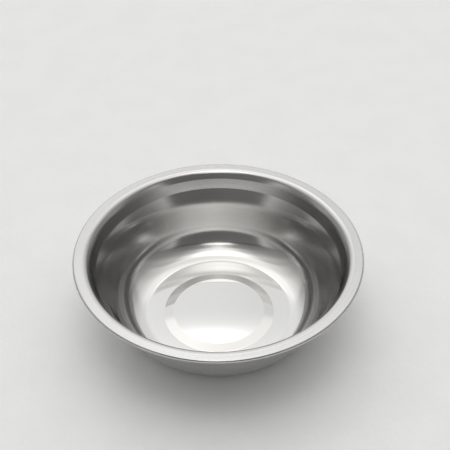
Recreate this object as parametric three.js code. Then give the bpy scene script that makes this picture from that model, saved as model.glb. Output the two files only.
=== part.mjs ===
// A pressed stainless steel shaving bowl: one sheet of even thickness, drawn into a round bowl.
// Millimetres, +Z up. The origin is on the axis, at the height of the surface the bowl stands on.
import * as THREE from 'three';

// Driving dimensions. Radii are measured from the bowl's axis, on the side of the sheet that faces up, and
// every drop from the top of the rim. Each bend is a corner of two straight lines, rounded by its fillet.
const sheetThickness = 0.7;
const rimRadius = 70;
const bowlHeight = 40.3;

const hemReturn = 3.5;  // how far the turned-under edge runs back below the rim
const hemHeight = 2.0;  // two thicknesses of sheet and the gap between them

const rimInnerRadius = 64.0;  // where the flat rim rolls over into the neck
const rimInnerFillet = 3.3;
const neckRadius = 61.9;
const neckDrop = 2.8;
const neckFillet = 7;

const creaseRadius = 59.7;  // the crease between the neck and the sloping ledge
const creaseDrop = 8.4;
const creaseFillet = 0.5;
const ledgeRadius = 56.6;  // where the ledge bends over into the wall
const ledgeDrop = 13.2;
const ledgeFillet = 40;

const wallFootRadius = 49.0;  // where the wall starts to curve in under itself
const wallFootDrop = 33.6;
const wallFootFillet = 20.5;
const floorCornerRadius = 39.7;  // where that curve runs out into the flat floor
const floorCornerFillet = 13.9;

const discRadius = 27.6;  // the foot of the slope around the raised disc in the floor
const discTopRadius = 22.8;
const discRise = 0.75;
const discCrown = 0.35;  // how much higher the disc's middle is than its edge
const crownShare = 0.95;  // the share of the disc's top that this dome takes up, short of the rounded edge
const discEdgeFillet = 3;

const segments = 72;
const chordTolerance = 0.06;  // how far a straight facet may cut inside the true arc

const floorTop = sheetThickness;
const discTop = floorTop + discRise;
const crownTop = discTop + discCrown;
const crownCornerRadius = discTopRadius / 2;
const crownFillet = crownShare * discTopRadius ** 2 / (2 * discCrown);

const steel = new THREE.MeshStandardMaterial({ color: 0xc4c5c3, roughness: 0.18, metalness: 1.0 });

function corner(radius, height, fillet = 0) {
  return { point: new THREE.Vector2(radius, height), fillet };
}

// The upper face of the sheet, from the axis out to the end of the turned-under edge, as straight lines
// between corners that are rounded later.
const upperFace = [
  corner(0, crownTop),
  corner(crownCornerRadius, crownTop, crownFillet),
  corner(discTopRadius, discTop, discEdgeFillet),
  corner(discRadius, floorTop, discEdgeFillet),
  corner(floorCornerRadius, floorTop, floorCornerFillet),
  corner(wallFootRadius, bowlHeight - wallFootDrop, wallFootFillet),
  corner(ledgeRadius, bowlHeight - ledgeDrop, ledgeFillet),
  corner(creaseRadius, bowlHeight - creaseDrop, creaseFillet),
  corner(neckRadius, bowlHeight - neckDrop, neckFillet),
  corner(rimInnerRadius, bowlHeight, rimInnerFillet),
  corner(rimRadius, bowlHeight, hemHeight / 2),
  corner(rimRadius, bowlHeight - hemHeight, hemHeight / 2),
  corner(rimRadius - hemHeight / 2 - hemReturn, bowlHeight - hemHeight),
];

function direction(from, to) {
  return to.point.clone().sub(from.point).normalize();
}

function rightOf(vector) {
  return new THREE.Vector2(vector.y, -vector.x);
}

// The same line of corners, moved to its right by the sheet's thickness: a corner that turns left gets a
// larger radius by the thickness, and one that turns right gets a smaller one.
function offsetCorners(corners, distance) {
  return corners.map((here, index) => {
    const before = corners[Math.max(index - 1, 0)];
    const after = corners[Math.min(index + 1, corners.length - 1)];
    const arriving = index > 0 ? direction(before, here) : direction(here, after);
    const leaving = index < corners.length - 1 ? direction(here, after) : arriving;
    const scale = distance / (1 + arriving.dot(leaving));
    const reach = rightOf(arriving).add(rightOf(leaving)).multiplyScalar(scale);
    const turnsLeft = arriving.cross(leaving) > 0;
    const fillet = here.fillet > 0 ? here.fillet + (turnsLeft ? distance : -distance) : 0;
    const moved = here.point.clone().add(reach);
    return corner(index === 0 ? 0 : moved.x, moved.y, fillet);
  });
}

// Points along the line of corners, with each rounded corner as an arc.
function roundedLine(corners) {
  const points = [corners[0].point];
  for (let index = 1; index < corners.length - 1; index += 1) {
    const here = corners[index];
    const back = direction(here, corners[index - 1]);
    const ahead = direction(here, corners[index + 1]);
    const halfAngle = Math.acos(THREE.MathUtils.clamp(back.dot(ahead), -1, 1)) / 2;
    const middle = back.clone().add(ahead).normalize().multiplyScalar(here.fillet / Math.sin(halfAngle));
    const centre = here.point.clone().add(middle);
    const tangentLength = here.fillet / Math.tan(halfAngle);
    const start = here.point.clone().addScaledVector(back, tangentLength).sub(centre);
    const turn = Math.PI - 2 * halfAngle;
    const sense = back.cross(ahead) < 0 ? 1 : -1;
    const arcStep = 2 * Math.acos(Math.max(0, 1 - chordTolerance / here.fillet));
    const steps = Math.ceil(turn / arcStep);
    for (let step = 0; step <= steps; step += 1) {
      const spoke = start.clone().rotateAround(new THREE.Vector2(0, 0), sense * turn * step / steps);
      points.push(centre.clone().add(spoke));
    }
  }
  points.push(corners[corners.length - 1].point);
  return points;
}

function makeBowlShell() {
  const above = roundedLine(upperFace);
  const below = roundedLine(offsetCorners(upperFace, sheetThickness));
  const profile = [...below, ...above.reverse()];
  const geometry = new THREE.LatheGeometry(profile, segments);
  geometry.rotateX(Math.PI / 2);
  const mesh = new THREE.Mesh(geometry, steel);
  mesh.name = 'bowl_shell';
  return mesh;
}

const shavingBowl = new THREE.Group();
shavingBowl.add(makeBowlShell());

export default shavingBowl;
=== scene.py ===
"""A pressed stainless steel shaving bowl on a pale floor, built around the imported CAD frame.

The bowl is one sheet of steel: a polished inside with a raised disc in its floor, a satin rim whose edge is
turned under, and a duller outside. Lengths below are millimetres unless a name says otherwise.
"""

import cmath
import math

import bmesh
import bpy
from mathutils import Matrix, Vector


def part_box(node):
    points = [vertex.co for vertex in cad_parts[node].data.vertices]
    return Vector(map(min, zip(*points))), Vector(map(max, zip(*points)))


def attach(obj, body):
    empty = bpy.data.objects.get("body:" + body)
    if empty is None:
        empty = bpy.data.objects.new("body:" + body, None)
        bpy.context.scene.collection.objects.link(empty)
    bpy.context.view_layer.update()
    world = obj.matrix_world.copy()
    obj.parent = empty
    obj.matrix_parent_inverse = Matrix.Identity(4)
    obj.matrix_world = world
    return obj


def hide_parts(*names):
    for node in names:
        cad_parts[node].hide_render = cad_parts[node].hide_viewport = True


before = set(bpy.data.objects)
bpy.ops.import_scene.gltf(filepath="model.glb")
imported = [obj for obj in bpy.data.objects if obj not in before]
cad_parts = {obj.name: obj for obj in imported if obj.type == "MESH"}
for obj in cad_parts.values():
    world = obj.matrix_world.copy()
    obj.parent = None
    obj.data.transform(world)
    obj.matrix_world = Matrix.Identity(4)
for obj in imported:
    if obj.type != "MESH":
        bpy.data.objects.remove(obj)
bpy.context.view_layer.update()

MM = 0.001
BOWL_NODE = "bowl_shell"

# The sheet, as the CAD part draws it. Radii are measured from the axis on the upper face, and every drop
# from the top of the rim. Each bend is a corner of two straight lines, rounded by its fillet.
RIM_RADIUS = 70.0
BOWL_HEIGHT = 40.3
SHEET = 0.7
HEM_HEIGHT = 2.0
HEM_RETURN = 3.5
RIM_INNER_RADIUS, RIM_INNER_FILLET = 64.0, 3.3
NECK_RADIUS, NECK_DROP, NECK_FILLET = 61.9, 2.8, 7.0
CREASE_RADIUS, CREASE_DROP, CREASE_FILLET = 59.7, 8.4, 0.5
LEDGE_RADIUS, LEDGE_DROP, LEDGE_FILLET = 56.6, 13.2, 40.0
WALL_FOOT_RADIUS, WALL_FOOT_DROP, WALL_FOOT_FILLET = 49.0, 33.6, 20.5
FLOOR_DROP = BOWL_HEIGHT - SHEET
FLOOR_CORNER_RADIUS, FLOOR_CORNER_FILLET = 39.7, 13.9
DISC_RADIUS = 27.6
DISC_TOP_RADIUS = 22.8
DISC_RISE = 0.75
DISC_TOP_DROP = FLOOR_DROP - DISC_RISE
DISC_EDGE_FILLET = 3.0
DISC_CROWN = 0.35  # how much higher the disc's middle is than its edge
CROWN_SHARE = 0.95  # the share of the disc's top that this dome takes up
CROWN_FILLET = CROWN_SHARE * DISC_TOP_RADIUS ** 2 / (2 * DISC_CROWN)

UPPER_CORNERS = [  # radius, drop, fillet
    (0.0, DISC_TOP_DROP - DISC_CROWN, 0.0),
    (DISC_TOP_RADIUS / 2, DISC_TOP_DROP - DISC_CROWN, CROWN_FILLET),
    (DISC_TOP_RADIUS, DISC_TOP_DROP, DISC_EDGE_FILLET),
    (DISC_RADIUS, FLOOR_DROP, DISC_EDGE_FILLET),
    (FLOOR_CORNER_RADIUS, FLOOR_DROP, FLOOR_CORNER_FILLET),
    (WALL_FOOT_RADIUS, WALL_FOOT_DROP, WALL_FOOT_FILLET),
    (LEDGE_RADIUS, LEDGE_DROP, LEDGE_FILLET),
    (CREASE_RADIUS, CREASE_DROP, CREASE_FILLET),
    (NECK_RADIUS, NECK_DROP, NECK_FILLET),
    (RIM_INNER_RADIUS, 0.0, RIM_INNER_FILLET),
    (RIM_RADIUS, 0.0, HEM_HEIGHT / 2),
    (RIM_RADIUS, HEM_HEIGHT, HEM_HEIGHT / 2),
    (RIM_RADIUS - HEM_HEIGHT / 2 - HEM_RETURN, HEM_HEIGHT, 0.0),
]

SEGMENTS = 288
ARC_STEP = math.radians(2.0)
ARC_STEPS_LEAST = 4
GUARD = 0.12  # a vertex this far from each end of a straight line keeps its shading flat
GUARDED_LENGTH = 3 * GUARD  # shorter straight lines go without
LEAST_STEP = 0.02  # arcs closer than this share a point
RAW_EDGE_STEPS = 6


# ---------------------------------------------------------------- shape

# A point of the cross section is a complex number: its radius and, as the imaginary part, its height.

def unit(step):
    return step / abs(step)


def turn_between(first, second):
    """The angle from one direction to another, positive when it turns left."""
    return cmath.phase(second / first)


def offset_corners(corners, distance):
    """The line of corners moved to its right, with each fillet kept concentric."""
    points = [point for point, _ in corners]
    steps = [unit(after - before) for before, after in zip(points, points[1:])]
    arriving = [steps[0]] + steps
    leaving = steps + [steps[-1]]
    moved = []
    for (point, fillet), first, second in zip(corners, arriving, leaving):
        turn = turn_between(first, second)
        reach = -1j * unit(first + second) * distance / math.cos(turn / 2)
        rounded = fillet + math.copysign(distance, turn) if fillet else 0.0
        moved.append((point + reach, rounded))
    on_axis = complex(0.0, moved[0][0].imag)
    return [(on_axis, 0.0)] + moved[1:]


def rounded_line(corners):
    """Points along the corners: each rounded corner is an arc, with a guard point on each straight end."""
    points = [corners[0][0]]
    for (before, _), (here, fillet), (after, _) in zip(corners, corners[1:], corners[2:]):
        arriving, leaving = unit(here - before), unit(after - here)
        turn = turn_between(arriving, leaving)
        start = here - arriving * fillet * math.tan(abs(turn) / 2)
        arm = 1j * arriving * math.copysign(fillet, turn)
        steps = max(ARC_STEPS_LEAST, math.ceil(abs(turn) / ARC_STEP))
        straight = start - points[-1]
        if abs(straight) > GUARDED_LENGTH:
            points += [points[-1] + arriving * GUARD, start - arriving * GUARD]
        points += [start + arm - arm * cmath.exp(1j * turn * step / steps) for step in range(steps + 1)]
        if abs(straight) < LEAST_STEP:
            del points[-steps - 1]
    last = corners[-1][0]
    points += [last - unit(last - points[-1]) * GUARD, last]
    return points


def raw_edge(above, below):
    """A half circle that rounds the sheet's cut edge from its upper face to its lower one."""
    middle = (above + below) / 2
    arm = above - middle
    turns = [math.pi * step / RAW_EDGE_STEPS for step in range(1, RAW_EDGE_STEPS)]
    return [middle + arm * cmath.exp(-1j * turn) for turn in turns]


def sheet_outline():
    """The sheet's cross section in two parts: its upper face, and then its cut edge and lower face."""
    corners = [(complex(radius, BOWL_HEIGHT - drop), fillet) for radius, drop, fillet in UPPER_CORNERS]
    above = rounded_line(corners)
    below = rounded_line(offset_corners(corners, SHEET))
    return above, raw_edge(above[-1], below[-1]) + below[::-1]


def lathe(name, inside, outside):
    """Turns both parts of the outline about Z, scaled to the CAD node. Outside faces take material 1."""
    low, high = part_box(BOWL_NODE)
    across = (high.x - low.x) / (2 * RIM_RADIUS)
    upright = (high.z - low.z) / BOWL_HEIGHT
    angles = [2 * math.pi * k / SEGMENTS for k in range(SEGMENTS)]
    mesh = bmesh.new()
    rings = []
    for point in inside + outside:
        height = low.z + point.imag * upright
        if point.real < GUARD:
            rings.append([mesh.verts.new((0.0, 0.0, height))] * SEGMENTS)
            continue
        reach = point.real * across
        rings.append([mesh.verts.new((reach * math.cos(a), reach * math.sin(a), height)) for a in angles])
    for index, (inner, outer) in enumerate(zip(rings, rings[1:])):
        for k in range(SEGMENTS):
            following = (k + 1) % SEGMENTS
            loop = [inner[k], outer[k], outer[following], inner[following]]
            face = mesh.faces.new(list(dict.fromkeys(loop)))
            face.smooth = True
            face.material_index = 0 if index < len(inside) - 1 else 1
    bmesh.ops.recalc_face_normals(mesh, faces=mesh.faces)
    data = bpy.data.meshes.new(name)
    mesh.to_mesh(data)
    mesh.free()
    piece = bpy.data.objects.new(name, data)
    bpy.context.scene.collection.objects.link(piece)
    return piece


# ---------------------------------------------------------------- nodes

class Nodes:
    """Short calls for building a node tree."""

    def __init__(self, tree):
        self.tree = tree

    def add(self, kind, inputs=None, **settings):
        node = self.tree.nodes.new(kind)
        for key, value in settings.items():
            setattr(node, key, value)
        for key, value in (inputs or {}).items():
            self.join(value, node.inputs[key])
        return node

    def join(self, value, socket):
        if isinstance(value, bpy.types.NodeSocket):
            self.tree.links.new(value, socket)
        else:
            socket.default_value = value

    def math(self, operation, first, second=0.0, clamp=False):
        node = self.add("ShaderNodeMath", {0: first, 1: second}, operation=operation, use_clamp=clamp)
        return node.outputs[0]

    def scale(self, vector, factor):
        node = self.add("ShaderNodeVectorMath", {0: vector, "Scale": factor}, operation="SCALE")
        return node.outputs[0]

    def ramp(self, value, stops):
        """A grey ramp: stops are (position, level)."""
        node = self.add("ShaderNodeValToRGB", {0: value})
        elements = node.color_ramp.elements
        elements.remove(elements[0])
        for index, (position, level) in enumerate(stops):
            element = elements[0] if index == 0 else elements.new(position)
            element.position = position
            element.color = (level, level, level, 1)
        return node.outputs[0]

    def smooth(self, value, low, high, from_level=0.0, to_level=1.0):
        """from_level below low, to_level above high, and an eased change between them."""
        node = self.add("ShaderNodeMapRange", {0: value, 1: low, 2: high, 3: from_level, 4: to_level},
                        interpolation_type="SMOOTHSTEP")
        return node.outputs[0]

    def window(self, value, low, high, edge):
        """1 from low to high and 0 beyond them, with soft edges."""
        rise = self.smooth(value, low - edge, low + edge)
        fall = self.smooth(value, high - edge, high + edge, 1.0, 0.0)
        return self.math("MULTIPLY", rise, fall)

    def mix(self, share, first, second):
        return self.add("ShaderNodeMix", {0: share, 2: first, 3: second}).outputs[0]

    def mix_colour(self, share, first, second):
        node = self.add("ShaderNodeMix", {0: share, 6: first, 7: second}, data_type="RGBA")
        return node.outputs[2]


# ---------------------------------------------------------------- steel

STEEL_TONE = (0.628, 0.624, 0.617, 1)
STEEL_TONE_WORN = (0.58, 0.576, 0.567, 1)
ANISOTROPY = 0.3

FINE_LINES = {"lines_per_metre": 3800.0, "stretch": 1.6, "detail": 3.0}
BROAD_LINES = {"lines_per_metre": 700.0, "stretch": 0.9, "detail": 2.0}
FINE_SHARE, BROAD_SHARE = 0.6, 0.4
LINES_ROUGHNESS = 0.6
SMUDGE = {"Scale": 26.0, "Detail": 5.0, "Roughness": 0.55, "Distortion": 0.6}
SPECK = {"Scale": 900.0, "Detail": 2.0}
SPECK_HEIGHT = 0.12
BUMP_DISTANCE_M = 0.00002

# Eased changes, as Nodes.smooth takes them: low, high, the level below low and the level above high.
RIM_TONE = ((RIM_INNER_RADIUS - 0.5) * MM, (RIM_INNER_RADIUS + 1.5) * MM, 1.0, 0.92)
SMUDGE_ROUGHNESS = (0.42, 0.72, -0.12, 0.22)
LINE_ROUGHNESS = (0.35, 0.65, -0.18, 0.22)
WORN_ON_LINES = (0.4, 0.64)
WORN_ON_SPECKS = (0.38, 0.62, 0.55, 1.0)
WORN_BY_FINISH = (0.05, 0.2, 0.2, 1.0)
BUMP_BY_FINISH = (0.06, 0.26, 0.0, 1.0)

INSIDE_LINE_STRENGTH = 0.3
OUTSIDE_LINE_STRENGTH = 0.8
INSIDE_FINISH = [  # radius, roughness: a mirror on the floor, brushed on the wall, satin on the rim
    (0.0, 0.04),
    (DISC_RADIUS, 0.04),
    (35.6, 0.08),
    (44.0, 0.12),
    (46.5, 0.15),
    (49.5, 0.15),
    (56.0, 0.15),
    (58.5, 0.14),
    (62.5, 0.15),
    (65.6, 0.21),
    (RIM_RADIUS, 0.22),
]
OUTSIDE_FINISH = (0.0, BOWL_HEIGHT * MM, 0.42, 0.36)  # an eased change with height


def inside_roughness(nodes, radius, _height):
    share = nodes.math("MULTIPLY", radius, 1 / (RIM_RADIUS * MM))
    return nodes.ramp(share, [(reach / RIM_RADIUS, level) for reach, level in INSIDE_FINISH])


def outside_roughness(nodes, _radius, height):
    return nodes.smooth(height, *OUTSIDE_FINISH)


def bowl_coordinates(nodes):
    """From the mesh's own coordinates: place, radius, height, and a unit vector outwards from the axis."""
    place = nodes.add("ShaderNodeTexCoord").outputs["Object"]
    x, y, z = nodes.add("ShaderNodeSeparateXYZ", {0: place}).outputs
    flat = nodes.add("ShaderNodeCombineXYZ", {0: x, 1: y}).outputs[0]
    radius = nodes.add("ShaderNodeVectorMath", {0: flat}, operation="LENGTH").outputs["Value"]
    outwards = nodes.add("ShaderNodeVectorMath", {0: flat}, operation="NORMALIZE").outputs["Vector"]
    return place, radius, z, outwards


def turned_lines(nodes, along, outwards, lines_per_metre, stretch, detail):
    """Noise that is fine along the profile and long around the bowl, as turned polishing lines are."""
    x, y, _ = nodes.add("ShaderNodeSeparateXYZ", {0: outwards}).outputs
    across = nodes.math("MULTIPLY", along, lines_per_metre)
    first = nodes.math("MULTIPLY", x, stretch)
    second = nodes.math("MULTIPLY", y, stretch)
    vector = nodes.add("ShaderNodeCombineXYZ", {0: first, 1: second, 2: across}).outputs[0]
    settings = {"Vector": vector, "Scale": 1.0, "Detail": detail, "Roughness": LINES_ROUGHNESS}
    return nodes.add("ShaderNodeTexNoise", settings).outputs["Fac"]


def steel_material(name, roughness_of, line_strength):
    """Polished sheet: roughness_of(nodes, radius, height) gives the finish at each place."""
    material = bpy.data.materials.new(name)
    material.use_nodes = True
    nodes = Nodes(material.node_tree)
    shader = material.node_tree.nodes["Principled BSDF"]
    shader.inputs["Metallic"].default_value = 1.0
    shader.inputs["Anisotropic"].default_value = ANISOTROPY
    tangent = nodes.add("ShaderNodeTangent", direction_type="RADIAL", axis="Z").outputs[0]
    nodes.join(tangent, shader.inputs["Tangent"])

    place, radius, height, outwards = bowl_coordinates(nodes)
    along = nodes.math("ADD", radius, height)
    fine = turned_lines(nodes, along, outwards, **FINE_LINES)
    broad = turned_lines(nodes, along, outwards, **BROAD_LINES)
    fine_part = nodes.math("MULTIPLY", fine, FINE_SHARE)
    broad_part = nodes.math("MULTIPLY", broad, BROAD_SHARE)
    lines = nodes.math("ADD", fine_part, broad_part)
    smudge = nodes.add("ShaderNodeTexNoise", {"Vector": place, **SMUDGE}).outputs["Fac"]
    speck = nodes.add("ShaderNodeTexNoise", {"Vector": place, **SPECK}).outputs["Fac"]

    finish = roughness_of(nodes, radius, height)
    smudged = nodes.smooth(smudge, *SMUDGE_ROUGHNESS)
    uneven = nodes.math("ADD", smudged, nodes.smooth(lines, *LINE_ROUGHNESS))
    roughness = nodes.math("MULTIPLY", finish, nodes.math("ADD", uneven, 1.0))
    nodes.join(roughness, shader.inputs["Roughness"])

    lined = nodes.smooth(lines, *WORN_ON_LINES)
    specked = nodes.math("MULTIPLY", lined, nodes.smooth(speck, *WORN_ON_SPECKS))
    worn = nodes.math("MULTIPLY", specked, nodes.smooth(finish, *WORN_BY_FINISH))
    tone = nodes.mix_colour(worn, STEEL_TONE, STEEL_TONE_WORN)
    nodes.join(nodes.scale(tone, nodes.smooth(radius, *RIM_TONE)), shader.inputs["Base Color"])

    height_map = nodes.math("ADD", lines, nodes.math("MULTIPLY", speck, SPECK_HEIGHT))
    strength = nodes.math("MULTIPLY", nodes.smooth(finish, *BUMP_BY_FINISH), line_strength)
    relief = {"Height": height_map, "Strength": strength, "Distance": BUMP_DISTANCE_M}
    bump = nodes.add("ShaderNodeBump", relief)
    nodes.join(bump.outputs["Normal"], shader.inputs["Normal"])
    return material


# ---------------------------------------------------------------- floor

FLOOR_SIZE_M = 6.0
FLOOR_ROUGHNESS = 0.75
FLOOR_SPECULAR = 0.25
FLOOR_TONES = ((0.94, 0.952, 0.955, 1), (0.96, 0.968, 0.968, 1))
FLOOR_TONE_CHANGE = (0.35, 0.65)
FLOOR_MOTTLE = {"Scale": 45.0, "Detail": 6.0}
BEADS_PER_METRE = 190.0
BEAD_EDGE = (0.0, 0.08)
MOTTLE_HEIGHT = 0.8
FLOOR_BUMP = {"Strength": 0.2, "Distance": 0.0002}


def floor_material():
    material = bpy.data.materials.new("pale_floor")
    material.use_nodes = True
    nodes = Nodes(material.node_tree)
    shader = material.node_tree.nodes["Principled BSDF"]
    shader.inputs["Roughness"].default_value = FLOOR_ROUGHNESS
    shader.inputs["Specular IOR Level"].default_value = FLOOR_SPECULAR
    place = nodes.add("ShaderNodeTexCoord").outputs["Object"]
    beads = nodes.add("ShaderNodeTexVoronoi", {"Vector": place, "Scale": BEADS_PER_METRE},
                      feature="DISTANCE_TO_EDGE").outputs["Distance"]
    mottle = nodes.add("ShaderNodeTexNoise", {"Vector": place, **FLOOR_MOTTLE}).outputs["Fac"]
    tone = nodes.mix_colour(nodes.smooth(mottle, *FLOOR_TONE_CHANGE), *FLOOR_TONES)
    nodes.join(tone, shader.inputs["Base Color"])
    grain = nodes.math("MULTIPLY", mottle, MOTTLE_HEIGHT)
    raised = nodes.math("ADD", nodes.smooth(beads, *BEAD_EDGE), grain)
    bump = nodes.add("ShaderNodeBump", {"Height": raised, **FLOOR_BUMP})
    nodes.join(bump.outputs["Normal"], shader.inputs["Normal"])
    return material


def make_floor():
    bpy.ops.mesh.primitive_plane_add(size=FLOOR_SIZE_M)
    floor = bpy.context.object
    floor.name = "pale_floor"
    floor.data.materials.append(floor_material())


# ---------------------------------------------------------------- light

# A direction is told by two measures: its turn, in degrees up from the horizon ahead of the camera and on
# over the camera's head, and sideways, which is 0 in the middle and 1 straight out to either side.
TURN_FROM, TURN_SPAN = -60.0, 300.0
SKY_PEAK = 4.0
SKY = [  # turn, radiance in the middle
    (-60, 0.5), (0, 0.75), (20, 1.05), (34, 1.22), (42, 1.16), (46, 1.18), (48.5, 1.46), (56, 1.55),
    (62, 1.58), (68, 1.4), (72, 1.3), (82, 1.4), (88, 2.2), (97, 2.8), (102, 2.5), (107, 1.6), (118, 1.4),
    (124, 1.15), (130, 0.85), (136, 0.62), (176, 0.52), (186, 0.48), (240, 0.48),
]
SIDES = [  # from this turn on, the share of that radiance that is left at each sideways measure
    (-60, [(0.0, 1.0), (0.3, 0.9), (0.5, 0.7), (0.65, 0.5), (0.85, 0.3), (1.0, 0.15)]),
    (48, [(0.0, 1.0), (0.3, 0.95), (0.4, 0.8), (0.63, 0.62), (0.75, 0.48), (0.84, 0.33), (0.92, 0.25),
          (1.0, 0.2)]),
    (85, [(0.0, 1.0), (0.15, 0.9), (0.3, 0.55), (0.45, 0.3), (0.8, 0.17), (1.0, 0.1)]),
    (98, [(0.0, 1.0), (0.15, 0.85), (0.3, 0.42), (0.45, 0.25), (0.8, 0.16), (1.0, 0.1)]),
    (114, [(0.0, 1.0), (0.1, 0.55), (0.2, 0.22), (0.45, 0.14), (0.8, 0.18), (1.0, 0.1)]),
    (132, [(0.0, 1.0), (0.7, 1.0), (0.85, 0.35), (1.0, 0.05)]),
]
SIDES_BLEND_DEG = 3.5
LEFT_SHARE, RIGHT_SHARE = 1.04, 0.91  # the room's left side is a little brighter than its right
LEFT_TO_RIGHT = (-0.2, 0.2)
SIDE_LEVEL = 0.1  # the radiance that fills in as the shares above fall

DARK_TURN = (128.5, 174.0)  # the dark end of the room, behind the camera
DARK_EDGE_DEG = 1.2
DARK_HALF_WIDTH, DARK_SIDE_EDGE = 0.65, 0.06
DARK_SHARE = 0.3
LAMP_TURN = (125.0, 127.8)  # a strip lamp above it
LAMP_EDGE_DEG = 0.3
LAMP_HALF_WIDTH, LAMP_SIDE_EDGE = 0.21, 0.03
LAMP_RADIANCE = 2.4
WINDOW_TURN = (49.0, 54.0)  # a small soft window ahead of the camera
WINDOW_EDGE_DEG = 1.8
WINDOW_LEFT_BY = 0.015
WINDOW_HALF_WIDTH = 0.12
WINDOW_RADIANCE = 1.3

WARM_TURN = (46.0, 58.0)
COOL_LIGHT = (1.0, 1.0, 0.99, 1)
WARM_LIGHT = (1.0, 0.992, 0.962, 1)
BACKDROP = (0.86, 0.87, 0.868, 1)


def room_level(nodes, turn, rightward, sideways):
    """The room's soft light, brightest overhead and falling off to the sides, as a share of SKY_PEAK."""
    reached = nodes.math("DIVIDE", nodes.math("SUBTRACT", turn, TURN_FROM), TURN_SPAN, clamp=True)
    stops = [((angle - TURN_FROM) / TURN_SPAN, level / SKY_PEAK) for angle, level in SKY]
    middle = nodes.ramp(reached, stops)
    side = nodes.ramp(sideways, SIDES[0][1])
    for angle, shares in SIDES[1:]:
        passed = nodes.smooth(turn, angle - SIDES_BLEND_DEG, angle + SIDES_BLEND_DEG)
        side = nodes.mix(passed, side, nodes.ramp(sideways, shares))
    uneven = nodes.smooth(rightward, *LEFT_TO_RIGHT, LEFT_SHARE, RIGHT_SHARE)
    lit = nodes.math("MULTIPLY", nodes.math("MULTIPLY", middle, side), uneven)
    rest = nodes.math("MULTIPLY", nodes.math("SUBTRACT", 1.0, side), SIDE_LEVEL / SKY_PEAK)
    return nodes.math("ADD", lit, rest)


def dark_end_share(nodes, turn, sideways):
    """The share of the room's light that is left in the dark end behind the camera, and 1 elsewhere."""
    low, high = DARK_HALF_WIDTH - DARK_SIDE_EDGE, DARK_HALF_WIDTH + DARK_SIDE_EDGE
    near_middle = nodes.smooth(sideways, low, high, 1.0, 0.0)
    dark = nodes.math("MULTIPLY", nodes.window(turn, *DARK_TURN, DARK_EDGE_DEG), near_middle)
    return nodes.math("SUBTRACT", 1.0, nodes.math("MULTIPLY", dark, 1.0 - DARK_SHARE))


def lamp_level(nodes, turn, sideways):
    low, high = LAMP_HALF_WIDTH - LAMP_SIDE_EDGE, LAMP_HALF_WIDTH + LAMP_SIDE_EDGE
    near_middle = nodes.smooth(sideways, low, high, 1.0, 0.0)
    lamp = nodes.math("MULTIPLY", nodes.window(turn, *LAMP_TURN, LAMP_EDGE_DEG), near_middle)
    return nodes.math("MULTIPLY", lamp, LAMP_RADIANCE / SKY_PEAK)


def window_level(nodes, turn, rightward):
    off_centre = nodes.math("ABSOLUTE", nodes.math("ADD", rightward, WINDOW_LEFT_BY))
    near_centre = nodes.smooth(off_centre, 0.0, WINDOW_HALF_WIDTH, 1.0, 0.0)
    window = nodes.math("MULTIPLY", nodes.window(turn, *WINDOW_TURN, WINDOW_EDGE_DEG), near_centre)
    return nodes.math("MULTIPLY", window, WINDOW_RADIANCE / SKY_PEAK)


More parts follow.
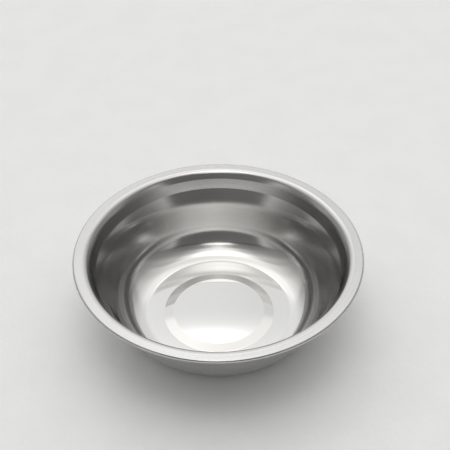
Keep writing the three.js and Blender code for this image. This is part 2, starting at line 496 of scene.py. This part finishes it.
def make_light():
    """The room that the steel mirrors. What the camera sees past the floor's edge is a plain backdrop."""
    world = bpy.data.worlds.new("studio")
    bpy.context.scene.world = world
    world.use_nodes = True
    nodes = Nodes(world.node_tree)
    place = nodes.add("ShaderNodeTexCoord").outputs["Generated"]
    x, y, z = nodes.add("ShaderNodeSeparateXYZ", {0: place}).outputs
    sideways = nodes.math("ABSOLUTE", x)
    turn = nodes.math("MULTIPLY", nodes.math("ARCTAN2", z, y), math.degrees(1.0))

    left = dark_end_share(nodes, turn, sideways)
    room = nodes.math("MULTIPLY", room_level(nodes, turn, x, sideways), left)
    lamps = nodes.math("ADD", lamp_level(nodes, turn, sideways), window_level(nodes, turn, x))
    tint = nodes.mix_colour(nodes.smooth(turn, *WARM_TURN), COOL_LIGHT, WARM_LIGHT)
    background = world.node_tree.nodes["Background"]
    nodes.join(nodes.scale(tint, nodes.math("ADD", room, lamps)), background.inputs["Color"])
    background.inputs["Strength"].default_value = SKY_PEAK

    seen = nodes.add("ShaderNodeBackground", {"Color": BACKDROP, "Strength": 1.0})
    ray = nodes.add("ShaderNodeLightPath").outputs["Is Camera Ray"]
    choice = nodes.add("ShaderNodeMixShader", {0: ray, 1: background.outputs[0], 2: seen.outputs[0]})
    nodes.join(choice.outputs[0], world.node_tree.nodes["World Output"].inputs["Surface"])


# ---------------------------------------------------------------- camera

CAMERA_DISTANCE = 8 * RIM_RADIUS
CAMERA_ELEVATION_DEG = 42.47
CAMERA_LENS = 93.07
CAMERA_SENSOR = 36.0
CAMERA_ROLL_DEG = -0.56
AIM_RIGHT = 3.5  # the camera points this far right of the rim's middle
AIM_UP = 13.5  # and this far above it, in its own view


def make_camera():
    low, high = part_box(BOWL_NODE)
    middle = Vector(((low.x + high.x) / 2, (low.y + high.y) / 2, high.z))
    elevation = math.radians(CAMERA_ELEVATION_DEG)
    back = Vector((0, -math.cos(elevation), math.sin(elevation)))
    right = Vector((1, 0, 0))
    up = right.cross(-back)
    position = middle + back * CAMERA_DISTANCE * MM
    target = middle + right * AIM_RIGHT * MM + up * AIM_UP * MM
    aim = (target - position).to_track_quat("-Z", "Y").to_matrix()
    roll = Matrix.Rotation(math.radians(CAMERA_ROLL_DEG), 3, "Z")
    camera = bpy.data.objects.new("camera", bpy.data.cameras.new("camera"))
    camera.location = position
    camera.rotation_euler = (aim @ roll).to_euler()
    camera.data.lens = CAMERA_LENS
    camera.data.sensor_width = CAMERA_SENSOR
    bpy.context.scene.collection.objects.link(camera)
    bpy.context.scene.camera = camera


# ---------------------------------------------------------------- the scene

bowl = lathe("bowl_sheet", *sheet_outline())
bowl.data.materials.append(steel_material("steel_inside", inside_roughness, INSIDE_LINE_STRENGTH))
bowl.data.materials.append(steel_material("steel_outside", outside_roughness, OUTSIDE_LINE_STRENGTH))
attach(bowl, "root")
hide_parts(BOWL_NODE)

make_floor()
make_light()
make_camera()
bpy.context.scene.view_settings.view_transform = "Standard"
